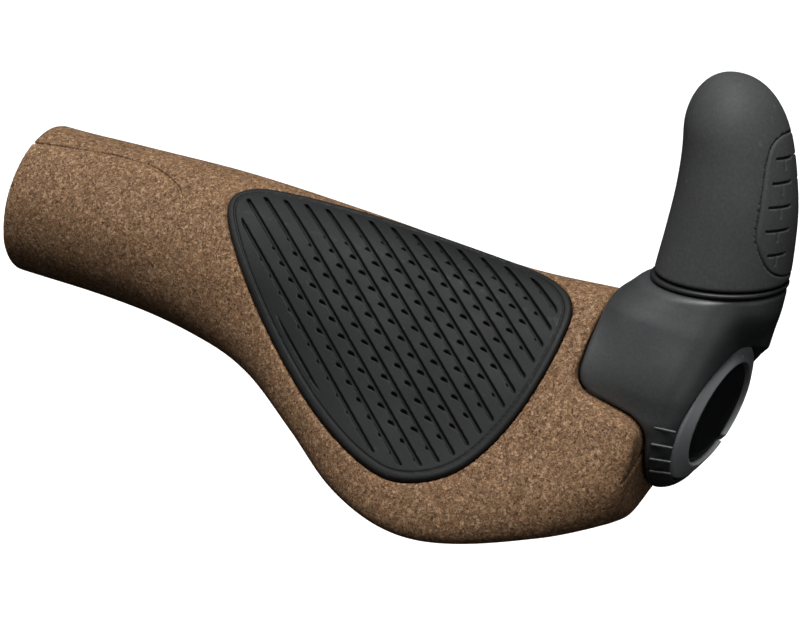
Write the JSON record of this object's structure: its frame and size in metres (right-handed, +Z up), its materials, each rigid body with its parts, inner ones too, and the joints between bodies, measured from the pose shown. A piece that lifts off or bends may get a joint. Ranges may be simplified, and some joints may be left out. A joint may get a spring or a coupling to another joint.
{
  "type": "bar end grip",
  "caption": "Right-hand ergonomic handlebar grip with a palm wing and a ribbed palm pad, and a short swivelling bar end locked by a split clamp ring.",
  "frame": {"origin": "on the handlebar's axis at the grip's inboard end face", "axes": "+X along the handlebar, outboard; +Y forward, away from the rider; +Z up. The palm wing slopes down behind the bar, and the bar end points forward and up."},
  "size_m": [0.1639, 0.0796, 0.0841],
  "materials": {
    "cork": "moulded cork granulate, matt",
    "pad_rubber": "soft matt rubber",
    "sleeve_rubber": "smooth satin rubber",
    "composite": "glass-filled nylon, satin",
    "nylon": "black nylon",
    "aluminium": "grey anodised, bead blasted",
    "steel": "black oxide"
  },
  "bodies": {
    "grip": {"grip_core": "nylon", "cork_body": "cork", "palm_pad": "pad_rubber"},
    "bar_end": {"bar_end_housing": "composite", "clamp_ring": "aluminium", "clamp_nut": "steel", "seat_ring": "nylon", "horn_sleeve": "sleeve_rubber", "horn_tread": "pad_rubber"},
    "washer": {"clamp_washer": "steel"},
    "bolt": {"clamp_bolt": "steel"},
    "plug": {"end_plug": "nylon"}
  },
  "joints": [
    {"name": "bar_end_swivel", "type": "hinge", "parent": "grip", "child": "bar_end", "pos_m": [0.14, 0, 0], "axis": [1, 0, 0], "range_deg": [-15, 0]},
    {"name": "bolt_travel", "type": "slide", "parent": "bar_end", "child": "washer", "axis": [0, 0.9135, 0.4067], "range_m": [0, 0.0016]},
    {"name": "clamp_bolt_turn", "type": "hinge", "parent": "washer", "child": "bolt", "pos_m": [0.14, 0.00744, -0.01672], "axis": [0, 0.9135, 0.4067], "range_deg": [0, 720]},
    {"name": "end_plug_pull", "type": "slide", "parent": "bar_end", "child": "plug", "axis": [0.982, -0.1621, -0.0974], "range_m": [0, 0.012]}
  ],
  "couplings": [
    {"joint": "clamp_bolt_turn", "follows": "bolt_travel", "rad_per_m": 7854}
  ]
}
